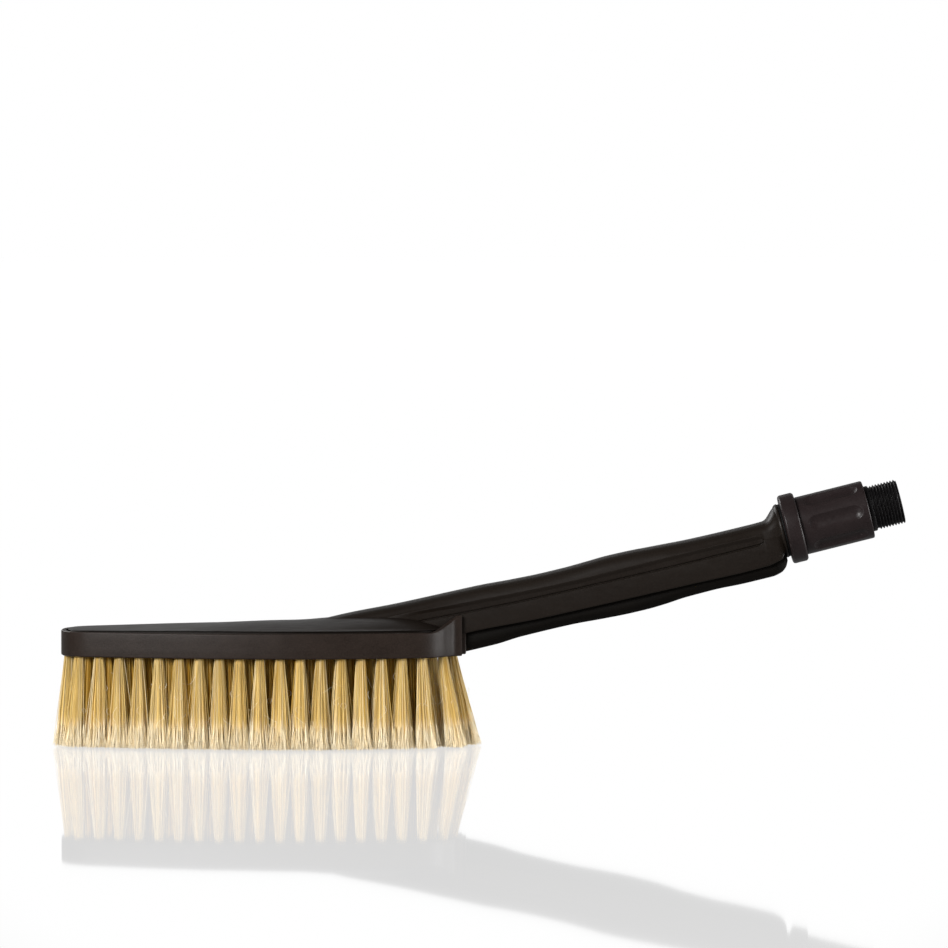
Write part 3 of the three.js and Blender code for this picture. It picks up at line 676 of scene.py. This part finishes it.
def handle_section(along):
    """The handle's cross-section at a station: a fluted channel that blends into its round lip."""
    top = float(smooth_table(HANDLE_TOP, along))
    low = float(smooth_table(HANDLE_LOW, along))
    half = HANDLE_HALF_WIDTH
    shut = min(max((along - FLUTE_SHUT_START) / FLUTE_SHUT_LENGTH, 0.0), 1.0)
    open_share = math.sqrt(1 - shut**2)
    run_in = float(smoothstep(*FLUTE_RUN_IN, along))
    depth = 0.02 + FLUTE_DEPTH * run_in * open_share**0.5
    groove = 0.01 + FLUTE_GROOVE * run_in * open_share
    flute_top = float(smooth_table(FLUTE_TOP, along))
    flute_low = float(smooth_table(FLUTE_LOW, along))
    middle = (flute_top + flute_low) / 2
    reach = (flute_top - flute_low) / 2 * open_share + 0.1
    slope = 0.04 + 0.86 * open_share
    shoulder = max(top - 4.6, middle + reach + 1.0)
    side = [
        (half - 2.4, low), (half, low), (half, middle - reach - 0.6 * slope),
        (half - depth - groove, middle - reach - 0.3 * slope),
        (half - depth - groove, middle - reach + 0.25 * slope), (half - depth, middle - reach + 0.55 * slope),
        (half - depth, middle + reach - slope * 1.3),
        (half - 0.15, middle + reach + slope * 0.7), (half - 0.8, shoulder),
        (half - 2.2, top - 2.3), (half - 4.8, top - 0.8), (half - 8.6, top - 0.1),
    ]
    right = [(1.0, low + 3.0), (half - 6.0, low + 3.0), (half - 2.4, low + 3.0)] + side
    ring = right + [(-y, n) for y, n in reversed(right)]
    radii = [0, 0, 0, 0.5, 0.7, 0.12, 0.1, 0.1, 0.1, 0.35, 0.35, 1.2, 1.4, 1.6, 2.0]
    ring = rounded(ring, radii + radii[::-1], 4)
    top_blend = float(smoothstep(*LIP_BLEND_TOP, along)) ** 1.4
    low_blend = float(smoothstep(*LIP_BLEND_LOW, along)) ** 1.2
    result = []
    for y, n in ring:
        below = min(max((-n - 2) / 6, 0.0), 1.0)
        blend = top_blend + (low_blend - top_blend) * below
        angle = math.atan2(n + 1.2 * (1 - blend), y)
        cy, cn = (LIP_RADIUS - 0.6) * math.cos(angle), (LIP_RADIUS - 0.6) * math.sin(angle)
        result.append(on_axis(along, y + (cy - y) * blend, n + (cn - n) * blend))
    return result


def add_upper_shell():
    stations = np.concatenate([np.arange(HANDLE_START, FINE_STATIONS_START, 2.0),
                               np.arange(FINE_STATIONS_START, -0.7, 0.7)])
    handle, handle_faces = loft([handle_section(float(s)) for s in stations])
    # the part of the handle that would pass under the deck is pulled up into the deck
    handle = [(x, y, max(z, DECK_UNDER_Z)) for x, y, z in handle]
    lip_profile = rounded([
        (-2.4, LIP_BORE), (-2.4, LIP_RADIUS - 1.0), (-1.2, LIP_RADIUS), (0, LIP_RADIUS), (0, LIP_BORE)],
        [0, 0.3, 0.6, 0.5, 0.2])
    lip, lip_faces = turned(lip_profile)
    offset = len(handle)
    lip_faces = [tuple(i + offset for i in f) for f in lip_faces]
    deck, deck_faces = deck_points(offset + len(lip))
    add_mesh("deck_and_handle", handle + lip + deck, handle_faces + lip_faces + deck_faces,
             SHELL_PLASTIC, "brush", ["upper_shell"])


def keel_section(along):
    """The keel's cross-section at a station: a rounded trough that closes at the lip."""
    low = float(smooth_table(KEEL_BOTTOM, along))
    end = float(smoothstep(KEEL_CLOSING, KEEL_END, along))
    top = float(smooth_table(HANDLE_LOW, along)) + 2.6 - 1.0 * end
    half = KEEL_HALF_WIDTH - 1.6 * end
    low = min(low, top - 1.0)
    right = [(half - 1.5, top), (half, (top + low) / 2 + 1), (half, low + 3.4), (half - 2.8, low)]
    ring = right + [(-y, n) for y, n in reversed(right)]
    ring = rounded(ring, [0.3, 0, 2.0, 2.6] + [2.6, 2.0, 0, 0.3], 5)
    points = [on_axis(along, y, n) for y, n in ring]
    return [(max(x, KEEL_FRONT_X), y, z) for x, y, z in points]


def add_lower_shell():
    stations = np.concatenate([np.arange(KEEL_START, -12, 2.0), np.arange(-12, KEEL_END + 0.01, 0.5)])
    points, faces = loft([keel_section(float(s)) for s in stations])
    add_mesh("handle_keel", points, faces, KEEL_PLASTIC, "brush", ["lower_shell"], 40)


# ---- coupling ----

def add_washer():
    profile = [(WASHER_START, WASHER_BORE), (WASHER_START, WASHER_RADIUS), (WASHER_END, WASHER_RADIUS),
               (WASHER_END, WASHER_BORE)]
    points, faces = turned(rounded(profile, [0, 0.2, 0.2, 0]))
    add_mesh("washer", points, faces, WASHER_PLASTIC, "brush", ["thrust_washer"])


def add_collar():
    inner = HUB_RADIUS + 0.35
    profile = [
        (RING_START, inner), (RING_START, RING_RADIUS - 0.8), (RING_START + 0.8, RING_RADIUS),
        (RING_END - 0.9, RING_RADIUS), (RING_END, RING_RADIUS - 0.9), (RING_END, inner),
    ]
    points, faces = turned(rounded(profile, [0, 0.5, 0.6, 0.5, 0.4, 0]), 128)
    add_mesh("collar", points, faces, COLLAR_PLASTIC, "coupling", ["collar_ring"])


def flute_cut(along, turn):
    """Radius of the grip at a point, where a round-ended flute may be cut into it."""
    radius = (GRIP_FLUTE_WIDTH**2 / 4 + GRIP_FLUTE_DEPTH**2) / (2 * GRIP_FLUTE_DEPTH)
    centre = SLEEVE_RADIUS + radius - GRIP_FLUTE_DEPTH
    overrun = math.sqrt(radius**2 - (centre - SLEEVE_RADIUS) ** 2)
    first = SLEEVE_START + 3.8 + overrun
    last = SLEEVE_END - 3.1 - overrun
    beyond = max(first - along, along - last, 0.0)
    pitch = 2 * math.pi / GRIP_FLUTES
    offset = (turn + pitch / 2) % pitch - pitch / 2
    room = radius**2 - beyond**2 - (centre * math.sin(offset)) ** 2
    if room <= 0:
        return SLEEVE_RADIUS
    return min(SLEEVE_RADIUS, centre * math.cos(offset) - math.sqrt(room))


def add_grip():
    rings = []

    def ring(along, radius_at):
        points = []
        for i in range(GRIP_STEPS):
            a = i / GRIP_STEPS * 2 * math.pi
            r = radius_at(a)
            points.append(on_axis(along, -r * math.cos(a), r * math.sin(a)))
        rings.append(points)

    hub_start = RING_START + 0.1
    for along, radius in ((SOCKET_DEPTH_AT, SLEEVE_BORE), (hub_start, SLEEVE_BORE), (hub_start, HUB_RADIUS),
                          (SLEEVE_START, HUB_RADIUS), (SLEEVE_START, SLEEVE_RADIUS - 0.5)):
        ring(along, lambda _, r=radius: r)
    for k in range(1, 5):
        a = k / 4 * math.pi / 2
        ring(SLEEVE_START + 0.5 * (1 - math.cos(a)), lambda _, r=SLEEVE_RADIUS - 0.5 + 0.5 * math.sin(a): r)
    for along in np.arange(SLEEVE_START + 1.0, SLEEVE_END - 1.0, 0.35):
        ring(along, lambda a, s=along: flute_cut(s, a - GRIP_FLUTE_TURN))
    for k in range(6):
        a = k / 5 * math.pi / 2
        ring(SLEEVE_END - GRIP_END_ROUND * (1 - math.sin(a)),
             lambda _, r=SLEEVE_RADIUS - GRIP_END_ROUND * (1 - math.cos(a)): r)
    ring(SLEEVE_END, lambda _: SOCKET_RADIUS)
    ring(SOCKET_DEPTH_AT, lambda _: SOCKET_RADIUS)
    points, faces = loft(rings, wrap=True)
    faces = [tuple(reversed(f)) for f in faces]
    add_mesh("grip", points, faces, COLLAR_PLASTIC, "coupling", ["grip_sleeve"], 24)


def thread_radius(along, turn):
    """Radius of the thread at a point: a ridge that winds once round in each pitch."""
    phase = ((along - THREAD_START) / THREAD_PITCH - turn) % 1
    ridge = abs(phase - 0.5) * 2
    ridge = min(max((ridge - 0.1) / 0.8, 0.0), 1.0)
    radius = THREAD_RADIUS - THREAD_DEPTH * ridge
    run_in = THREAD_RADIUS - THREAD_DEPTH * (1 - float(smoothstep(0, 1.2, along - THREAD_START)))
    chamfer = THREAD_RADIUS - 0.5 + (THREAD_END - along) * 0.9
    return min(radius, max(run_in, THREAD_RADIUS - THREAD_DEPTH), chamfer)


def add_spigot():
    rings = []

    def ring(along, radius_at):
        points = []
        for i in range(SPIGOT_STEPS):
            turn = i / SPIGOT_STEPS
            r = radius_at(turn)
            a = turn * 2 * math.pi
            points.append(on_axis(along, r * math.sin(a), r * math.cos(a)))
        rings.append(points)

    for along, radius in ((SPIGOT_START, OUTLET_RADIUS), (SPIGOT_START, STEM_RADIUS),
                          (SLEEVE_END + 0.05, STEM_RADIUS),
                          (SLEEVE_END + 0.05, NECK_RADIUS - 0.1), (SLEEVE_END + 0.15, NECK_RADIUS),
                          (THREAD_START - 0.7, NECK_RADIUS), (THREAD_START - 0.4, NECK_RADIUS - 0.3),
                          (THREAD_START, THREAD_RADIUS - THREAD_DEPTH)):
        ring(along, lambda _, r=radius: r)
    for along in np.arange(THREAD_START + 0.1, THREAD_END - 0.05, 0.12):
        ring(along, lambda turn, s=along: thread_radius(s, turn))
    for along, radius in ((THREAD_END, THREAD_RADIUS - 0.8), (THREAD_END, INLET_RADIUS + 0.7),
                          (THREAD_END - 0.7, INLET_RADIUS), (INLET_FLOOR_AT, INLET_RADIUS),
                          (INLET_FLOOR_AT, OUTLET_RADIUS)):
        ring(along, lambda _, r=radius: r)
    points, faces = loft(rings, wrap=True)
    add_mesh("inlet_spigot", points, faces, SPIGOT_PLASTIC, "coupling", ["threaded_spigot"], 50)


# ---- bristles ----

def column_x(column):
    return column * COLUMN_PITCH


def tip_shift(x):
    """How far the bristle tips of a column lean forward of or behind their roots."""
    return float(-FRONT_LEAN * (1 - smoothstep(2, 30, x)) + REAR_LEAN * smoothstep(168, 197, x) ** 1.3)


def row_tufts(row):
    """The tufts of a double row: place, lean, whether at the head's edge, and whether in its outer line."""
    columns = [2 * row - 1, 2 * row]
    if 2 * row + 1 == COLUMN_COUNT:
        columns.append(COLUMN_COUNT)
    reach = half_width(column_x(columns[1])) - TUFT_EDGE_MARGIN
    gaps = 2 * max(1, int(reach / TUFT_SPACING + 0.5))
    spacing = 2 * reach / gaps
    tufts = []
    for column in columns:
        x = column_x(column)
        staggered = column % 2 == 1
        end_reach = half_width(x) - TUFT_EDGE_MARGIN + 1.2
        count = gaps if staggered else gaps + 1
        for i in range(count):
            y = -reach + spacing * (i + 0.5 if staggered else i)
            if abs(y) <= end_reach:
                outer = i in (0, count - 1) or column <= 3 or column >= COLUMN_COUNT - 3
                front = outer and (not staggered or column == 1 or column >= COLUMN_COUNT - 2)
                shift = STAGGER_SHIFT if staggered else 0
                tufts.append((x - shift, tip_shift(x) + shift, y, outer, front))
    return tufts


def strand(points, radii, sides, first, tone_and_shade, reach, store):
    """One thin tapering strand through points, added to the row's lists."""
    count = len(points)
    turn = store["random"].random() * 6.28
    for k in range(count):
        for i in range(sides):
            a = turn + i / sides * 2 * math.pi
            store["points"].append((points[k][0] + radii[k] * math.cos(a),
                                    points[k][1] + radii[k] * math.sin(a), points[k][2]))
            store["tone_and_shade"].append(tone_and_shade)
            store["reach"].append(reach[k])
    for k in range(count - 1):
        a0, b0 = first + k * sides, first + (k + 1) * sides
        for i in range(sides):
            j = (i + 1) % sides
            store["faces"].append((a0 + i, b0 + i, b0 + j, a0 + j))
    return first + count * sides


def stray_hair(tuft, store, first):
    """A fine curly hair that has come loose from its tuft."""
    x, lean, y, _, _ = tuft
    random = store["random"]
    z = random.triangular(2, 9, 42)
    outward = 1 if y > 0 else -1
    flare = 1 - z / ROOT_Z
    place = np.array([x + random.normal(0, 2.2) + lean * flare, y + outward * (3.0 + 2.4 * flare), z])
    heading = np.array([random.normal(0, 0.8), outward * 0.1, random.normal(-0.4, 0.5)])
    turning = random.normal(0, 0.2)
    line = []
    for _ in range(STRAY_STEPS):
        line.append(tuple(place))
        turning += random.normal(0, 0.12)
        c, s = math.cos(turning), math.sin(turning)
        heading = np.array([heading[0] * c - heading[2] * s, heading[1], heading[0] * s + heading[2] * c])
        heading /= np.linalg.norm(heading)
        place = place + heading * 0.75
        place[2] = min(max(place[2], 0.3), 43.5)
    return strand(line, [0.09] * STRAY_STEPS, 3, first, 1.0, [0.9] * STRAY_STEPS, store)


def grow_tuft(tuft, store, first):
    """A tuft: a core that closes the gaps between its bristles, and the bristles, each split at its end."""
    x, lean, y, outer, front = tuft
    random = store["random"]
    count = OUTER_BRISTLES if outer else INNER_BRISTLES
    # Tufts behind the outer line start from a lower tone: painted shade.
    base_tone_and_shade = FRONT_TONE if front else BACK_SHADE_TONE
    core_points, core_radii, core_reach = [], [], []
    for z in (ROOT_Z + 2, 38.0, 24.0, 16.0, 12.0, 8.0, 4.0):
        t = max(1 - z / ROOT_Z, 0)
        core_points.append((x + lean * t, y, z))
        core_radii.append(ROOT_RADIUS * 0.85 + (2.6 if front else 1.6) * t)
        core_reach.append(t)
    core_radii[-1] = 0.3
    core_radii[-2] *= 0.75
    # The core of a tuft behind the outer line gets a low tone: painted shade.
    first = strand(core_points, core_radii, 8, first, 0.55 if front else 0.1, core_reach, store)
    pale_shift = random.normal(0, 0.025)
    for _ in range(count):
        angle = random.random() * 2 * math.pi
        away = math.sqrt(random.random())
        dx, dy = away * math.cos(angle), away * math.sin(angle)
        flare = random.normal(1.0, 0.09)
        if random.random() < 0.05:
            flare *= 1.4
        tip_x = x + lean + dx * TIP_SPREAD[0] * flare + random.normal(0, 0.3)
        tip_y = y + dy * TIP_SPREAD[1] * flare + random.normal(0, 0.3)
        tip_z = abs(random.normal(0, 0.35))
        split = SPLIT_Z + random.normal(0, 1.6)
        bow_x, bow_y = random.normal(0, 0.2), random.normal(0, 0.2)
        power = random.uniform(0.92, 1.1)
        # Bristles near a tuft's middle get a slightly lower tone than those at its outside: painted shade.
        tone_and_shade = float(np.clip(random.normal(base_tone_and_shade + 0.08 * away, 0.14), 0, 1))
        shift = pale_shift + random.normal(0, 0.07)

        def place(z):
            t = max(0.0, min(1.0, (ROOT_Z - z) / (ROOT_Z - tip_z)))
            bend = math.sin(t * math.pi)
            px = x + dx * ROOT_RADIUS + (tip_x - x - dx * ROOT_RADIUS) * t**power + bow_x * bend
            py = y + dy * ROOT_RADIUS + (tip_y - y - dy * ROOT_RADIUS) * t**power + bow_y * bend
            return (px, py, z), t + shift

        levels = [ROOT_Z + 1.0, 36.0, 26.0, 18.0, split]
        line, reach = zip(*[place(z) for z in levels])
        radii = [SHAFT_RADIUS * f for f in (1.0, 1.0, 0.95, 0.9, 0.8)]
        first = strand(line, radii, 3, first, tone_and_shade, reach, store)
        for _ in range(FILAMENTS):
            sx, sy = random.normal(0, 0.7), random.normal(0, 0.7)
            end_z = tip_z + abs(random.normal(0, 0.8))
            middle = place(split * 0.5)[0]
            end = place(end_z)[0]
            line = [place(split + 0.4)[0],
                    (middle[0] + sx * 0.35, middle[1] + sy * 0.35, middle[2]),
                    (end[0] + sx, end[1] + sy, end_z)]
            first = strand(line, [0.12, 0.11, 0.06], 3, first, min(tone_and_shade + 0.1, 1.0),
                           [0.78 + shift, 0.9 + shift, 1.0], store)
    if outer:
        for _ in range(int(random.integers(1, 4))):
            first = stray_hair(tuft, store, first)
    return first


def add_bristle_row(row):
    """All tufts of one double row as one piece, with a tone that carries painted shade and a reach stored at
    each point.
    """
    store = {"points": [], "faces": [], "tone_and_shade": [], "reach": [],
             "random": np.random.default_rng(1000 + row)}
    first = 0
    for tuft in row_tufts(row):
        first = grow_tuft(tuft, store, first)
    name = f"bristles_{row:02d}"
    piece = add_mesh(name, store["points"], store["faces"], BRISTLE, "brush", [f"tuft_row_{row:02d}"], 180)
    for key in ("tone_and_shade", "reach"):
        layer = piece.data.attributes.new(key, "FLOAT", "POINT")
        layer.data.foreach_set("value", store[key])


# ---- studio ----

def add_floor():
    mesh = bpy.data.meshes.new("floor")
    corners = [(-1, -1), (1, -1), (1, 1), (-1, 1)]
    mesh.from_pydata([(x * FLOOR_SIZE, y * FLOOR_SIZE, 0) for x, y in corners], [], [(0, 1, 2, 3)])
    mesh.materials.append(floor_material())
    floor = bpy.data.objects.new("floor", mesh)
    floor.location.z = -0.0002
    bpy.context.scene.collection.objects.link(floor)


def add_area_light(name, place, aim, size, power, reflected=True):
    data = bpy.data.lights.new(name, "AREA")
    data.shape = "RECTANGLE"
    data.size, data.size_y = size
    data.energy = power
    light = bpy.data.objects.new(name, data)
    light.location = place
    direction = Vector(aim) - Vector(place)
    light.rotation_mode = "QUATERNION"
    light.rotation_quaternion = direction.to_track_quat("-Z", "Y")
    light.visible_camera = False
    light.visible_glossy = reflected
    bpy.context.scene.collection.objects.link(light)


def add_world():
    """A dim room with a white backdrop straight behind the object."""
    world = bpy.data.worlds.new("studio")
    bpy.context.scene.world = world
    world.use_nodes = True
    nodes = world.node_tree.nodes
    links = world.node_tree.links
    background = nodes["Background"]
    background.inputs["Strength"].default_value = 1.0
    coordinate = nodes.new("ShaderNodeTexCoord")
    split = nodes.new("ShaderNodeSeparateXYZ")
    links.new(coordinate.outputs["Generated"], split.inputs["Vector"])
    side = nodes.new("ShaderNodeMapRange")
    side.inputs["From Min"].default_value = BACKDROP_EDGE[0]
    side.inputs["From Max"].default_value = BACKDROP_EDGE[1]
    side.inputs["To Min"].default_value = ROOM_LEVEL
    side.inputs["To Max"].default_value = 1.0
    links.new(split.outputs["Y"], side.inputs["Value"])
    path = nodes.new("ShaderNodeLightPath")
    level = nodes.new("ShaderNodeMath")
    level.operation = "MAXIMUM"
    links.new(side.outputs["Result"], level.inputs[0])
    links.new(path.outputs["Is Camera Ray"], level.inputs[1])
    links.new(level.outputs["Value"], background.inputs["Color"])


def add_studio():
    add_floor()
    add_world()
    add_area_light("key_light", (-1.5, -2.1, 1.05), (0, 0, 0.06), (1.0, 1.0), 98)
    add_area_light("front_fill", (1.3, -1.7, 0.45), (0, 0, 0.03), (0.8, 0.8), 14, False)
    add_area_light("right_light", (1.6, 0.1, 0.4), LIGHT_AIM, (0.5, 0.8), 26)
    add_area_light("back_light", (0.1, 1.3, 0.75), LIGHT_AIM, (1.4, 0.35), 0.9)
    add_area_light("rear_fill", (-1.5, 1.6, 1.2), LIGHT_AIM, (1.0, 1.0), 22)


# ---- assembly ----

finish_cad_nodes()
add_block()
add_upper_shell()
add_lower_shell()
add_washer()
add_collar()
add_grip()
add_spigot()
for row_number in range(1, TUFT_ROWS + 1):
    add_bristle_row(row_number)
add_studio()
bpy.context.scene.view_settings.view_transform = "Standard"
